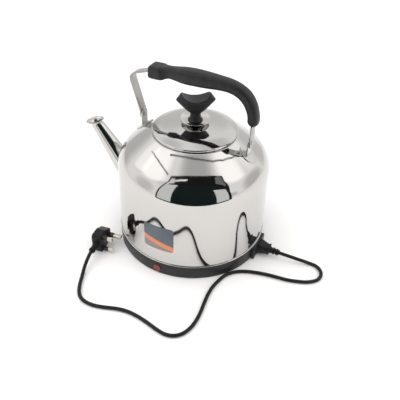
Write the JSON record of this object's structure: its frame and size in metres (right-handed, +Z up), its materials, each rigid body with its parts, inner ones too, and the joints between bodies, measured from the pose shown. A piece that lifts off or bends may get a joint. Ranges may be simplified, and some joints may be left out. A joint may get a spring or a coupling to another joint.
{
  "type": "electric kettle",
  "caption": "Large polished-steel electric kettle with a bail handle, slanted spout, domed lid with a winged knob, black base and detachable mains lead.",
  "frame": {"origin": "centre of the base's flat underside, on the vessel's axis, at table level", "axes": "+Z up along the vessel's axis; -X towards the spout; +X towards the mains inlet; -Y towards the indicator lamp"},
  "size_m": [0.439, 0.3513, 0.2955],
  "materials": {
    "polished_steel": "mirror-polished stainless steel",
    "satin_steel": "bright rolled steel strip",
    "zinc_steel": "zinc-plated steel",
    "base_black": "semi-gloss black moulding",
    "phenolic_black": "satin black phenolic",
    "cord_black": "satin black PVC",
    "foot_rubber": "matt rubber",
    "red_silicone": "silicone rubber",
    "element_sheath": "annealed sheath",
    "brass_bright": "nickel-plated brass",
    "white_ceramic": "glazed ceramic",
    "tan_phenolic": "moulded phenolic",
    "red_lens": "tinted clear lens, unlit",
    "neon_glass": "neon bulb",
    "wire_brown": "insulated wire",
    "wire_blue": "insulated wire",
    "wire_green": "insulated wire",
    "wire_grey": "insulated wire",
    "label_slate": "printed film",
    "carrier_maroon": "moulded phenolic"
  },
  "bodies": {
    "kettle": {"vessel_body": "polished_steel", "vessel_bottom": "polished_steel", "trim_ring": "polished_steel", "spout": "polished_steel", "front_ear": "polished_steel", "rear_ear": "polished_steel", "label": "label_slate", "base_skirt": "base_black", "base_plate": "base_black", "foot_1": "foot_rubber", "foot_2": "foot_rubber", "foot_3": "foot_rubber", "foot_4": "foot_rubber", "base_studs": "zinc_steel", "base_nuts": "zinc_steel", "heating_element": "element_sheath", "element_gaskets": "red_silicone", "element_nuts": "brass_bright", "thermostat": "white_ceramic", "thermostat_bracket": "zinc_steel", "thermal_fuse": "tan_phenolic", "indicator_lens": "red_lens", "indicator_lamp": "neon_glass", "inlet_housing": "base_black", "inlet_pin_line": "brass_bright", "inlet_pin_neutral": "brass_bright", "inlet_pin_earth": "brass_bright", "inlet_screws": "zinc_steel", "wire_live": "wire_brown", "wire_neutral": "wire_blue", "wire_earth": "wire_green", "wire_lamp": "wire_grey", "cord": "cord_black", "plug_body": "cord_black", "plug_relief": "cord_black", "plug_pin_earth": "brass_bright", "plug_pin_line": "brass_bright", "plug_pin_neutral": "brass_bright"},
    "lid": {"lid_shell": "polished_steel", "lid_collar": "polished_steel", "knob": "phenolic_black", "knob_saucer": "polished_steel", "knob_screw": "zinc_steel", "knob_seal": "foot_rubber"},
    "handle": {"handle_strap": "satin_steel", "grip": "phenolic_black", "handle_rivets": "zinc_steel"},
    "connector": {"connector_body": "cord_black", "connector_contacts": "brass_bright", "connector_relief": "cord_black"},
    "fuse_carrier": {"plug_fuse_carrier": "carrier_maroon", "plug_fuse": "white_ceramic"}
  },
  "joints": [
    {"name": "lid_lift", "type": "slide", "parent": "kettle", "child": "lid", "axis": [0, 0, 1], "range_m": [0, 0.01]},
    {"name": "handle_swing", "type": "hinge", "parent": "kettle", "child": "handle", "pos_m": [0, 0, 0.203], "axis": [1, 0, 0], "range_deg": [-80, 80]},
    {"name": "connector_pull", "type": "slide", "parent": "kettle", "child": "connector", "axis": [1, 0, 0], "range_m": [0, 0.017]},
    {"name": "fuse_carrier_pull", "type": "slide", "parent": "kettle", "child": "fuse_carrier", "axis": [0.9903, 0.1392, 0], "range_m": [0, 0.009]}
  ]
}
